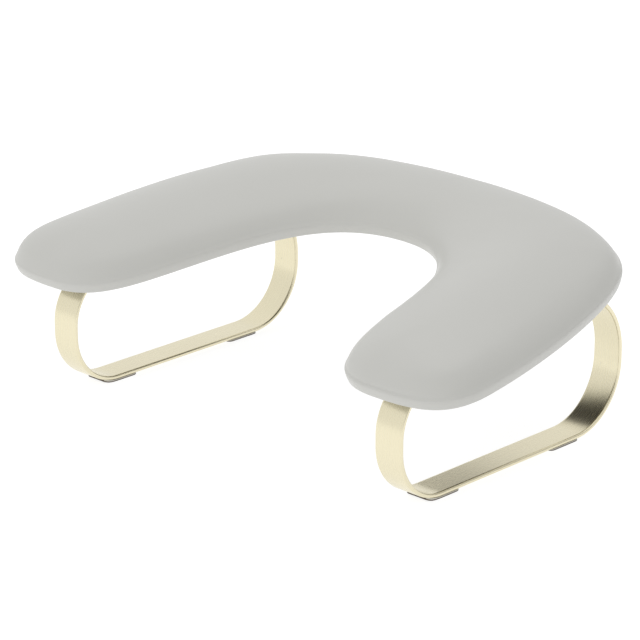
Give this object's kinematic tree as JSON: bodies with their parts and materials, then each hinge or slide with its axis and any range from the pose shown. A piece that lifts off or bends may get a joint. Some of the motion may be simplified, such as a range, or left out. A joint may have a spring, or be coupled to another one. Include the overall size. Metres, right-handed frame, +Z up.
{
  "type": "manicure hand rest",
  "caption": "U-shaped padded hand rest with a smooth light grey cushion that slopes up to the back, carried on bent gold strip loops.",
  "frame": {"origin": "under the middle of the rest's bounding box, on the surface that it stands on", "axes": "+X across the rest from the left leg to the right leg, +Y from the open ends of the arms to the bridge at the back, +Z up"},
  "size_m": [0.4146, 0.2688, 0.1366],
  "materials": {
    "cover": "smooth satin synthetic leather, light warm grey",
    "foam": "open cell polyurethane foam",
    "board": "raw plywood",
    "backing": "black nonwoven dust cover",
    "leg": "satin champagne gold plating on flat steel strip",
    "foot": "matte dark self-adhesive pad",
    "screw": "zinc plated",
    "insert": "plain turned brass"
  },
  "bodies": {
    "root": {"cushion_cover": "cover", "cushion_foam": "foam", "cushion_board": "board", "underside_backing": "backing", "leg_left": "leg", "leg_right": "leg", "foot_left_front": "foot", "foot_left_back": "foot", "foot_right_front": "foot", "foot_right_back": "foot", "screw_left_front": "screw", "screw_left_back": "screw", "screw_right_front": "screw", "screw_right_back": "screw", "insert_left_front": "insert", "insert_left_back": "insert", "insert_right_front": "insert", "insert_right_back": "insert"}
  },
  "joints": []
}
